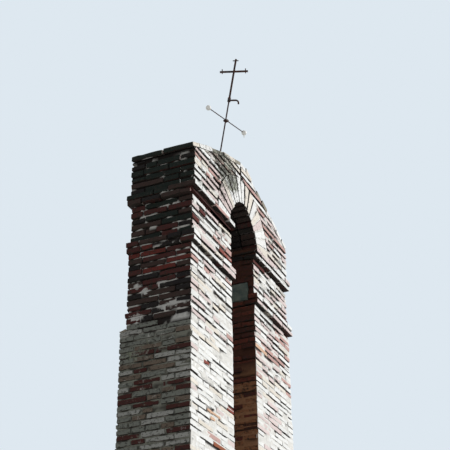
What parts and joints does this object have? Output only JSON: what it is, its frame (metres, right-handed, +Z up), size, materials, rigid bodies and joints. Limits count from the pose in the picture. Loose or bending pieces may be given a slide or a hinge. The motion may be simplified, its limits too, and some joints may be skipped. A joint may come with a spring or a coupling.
{
  "type": "brick bell tower",
  "caption": "Tall thin brick bell gable with a narrow round-arched bell opening, string bands, a gabled top and a leaning iron cross.",
  "frame": {"origin": "middle of the plinth's underside, at ground level", "axes": "+X along the front to the right, +Y from the front through the thickness to the back, +Z up"},
  "size_m": [2.43, 0.802, 9.0523],
  "materials": {
    "brick": "matte",
    "mortar": "matte",
    "stone": "matte",
    "iron": "matte",
    "ball_white": "satin"
  },
  "bodies": {
    "root": {"plinth": "brick", "plinth_top_course": "brick", "base_wall": "brick", "sill": "brick", "left_pier_lower": "brick", "right_pier_lower": "brick", "left_setoff": "mortar", "right_setoff": "mortar", "left_pier_middle": "brick", "right_pier_middle": "brick", "left_lower_band": "brick", "right_lower_band": "brick", "left_pier_upper": "brick", "right_pier_upper": "brick", "left_bearing_stone": "stone", "right_bearing_stone": "stone", "left_impost_band": "brick", "right_impost_band": "brick", "arch_left_foot": "brick", "arch_left_haunch": "brick", "arch_crown": "brick", "arch_right_haunch": "brick", "arch_right_foot": "brick", "arch_joints": "mortar", "left_shoulder": "brick", "right_shoulder": "brick", "left_coping": "brick", "right_coping_upper": "brick", "right_coping_lower": "brick", "ridge_cap": "brick", "mast_foot": "mortar", "mast_rod": "iron", "lower_bar": "iron", "lower_bar_clamp": "iron", "left_ball": "ball_white", "right_ball": "ball_white", "ball_drop": "ball_white", "arm_collar": "iron", "bent_arm": "iron", "cross_upright": "iron", "cross_bar": "iron", "top_crosslet": "iron", "left_crosslet": "iron", "right_crosslet": "iron"}
  },
  "joints": []
}
